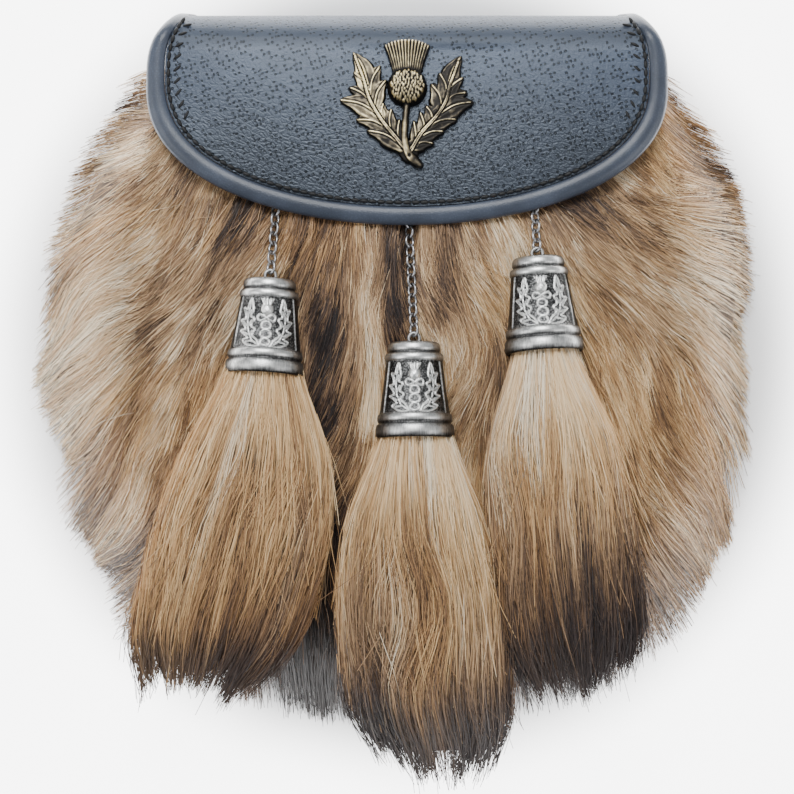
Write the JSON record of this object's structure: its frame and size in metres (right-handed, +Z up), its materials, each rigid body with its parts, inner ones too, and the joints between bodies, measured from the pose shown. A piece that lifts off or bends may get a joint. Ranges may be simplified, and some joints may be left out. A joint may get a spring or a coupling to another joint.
{
  "type": "sporran pouch",
  "caption": "Flat leather pouch with a long-haired fur front, a rounded leather flap with a thistle badge, and hair tassels in cast caps on short chains",
  "frame": {"origin": "middle of the footprint, on the surface that the pouch lies on", "axes": "+Z is up and is the way the front faces, +Y runs towards the top edge of the flap, +X is to the right seen from the front"},
  "size_m": [0.2384, 0.254, 0.0605],
  "materials": {
    "leather_black": "smooth black leather",
    "leather_flap": "blue-black leather with a pigskin grain",
    "leather_binding": "smooth rolled leather edge",
    "antique_brass": "antiqued, dark in its recesses",
    "pewter": "antiqued cast metal, bright on its high places",
    "chain_steel": "dull plated wire",
    "fur": "long fur, tan with brown and dark bands",
    "hair_tassel": "long hair, tan to dark brown"
  },
  "bodies": {
    "root": {"back_panel": "leather_black", "gusset": "leather_black", "front_panel": "leather_black", "belt_loop": "leather_black", "flap": "leather_flap", "flap_binding": "leather_binding", "closing_stud": "antique_brass", "thistle_badge": "antique_brass", "fur_pelt": "fur", "tassel_cone_left": "pewter", "tassel_hair_left": "hair_tassel", "chain_staple_left": "chain_steel", "chain_left_1": "chain_steel", "chain_left_2": "chain_steel", "chain_left_3": "chain_steel", "chain_left_4": "chain_steel", "chain_left_5": "chain_steel", "chain_left_6": "chain_steel", "chain_left_7": "chain_steel", "chain_left_8": "chain_steel", "tassel_cone_middle": "pewter", "tassel_hair_middle": "hair_tassel", "chain_staple_middle": "chain_steel", "chain_middle_1": "chain_steel", "chain_middle_2": "chain_steel", "chain_middle_3": "chain_steel", "chain_middle_4": "chain_steel", "chain_middle_5": "chain_steel", "chain_middle_6": "chain_steel", "chain_middle_7": "chain_steel", "chain_middle_8": "chain_steel", "chain_middle_9": "chain_steel", "chain_middle_10": "chain_steel", "chain_middle_11": "chain_steel", "chain_middle_12": "chain_steel", "tassel_cone_right": "pewter", "tassel_hair_right": "hair_tassel", "chain_staple_right": "chain_steel", "chain_right_1": "chain_steel", "chain_right_2": "chain_steel", "chain_right_3": "chain_steel", "chain_right_4": "chain_steel", "chain_right_5": "chain_steel", "chain_right_6": "chain_steel"}
  },
  "joints": []
}
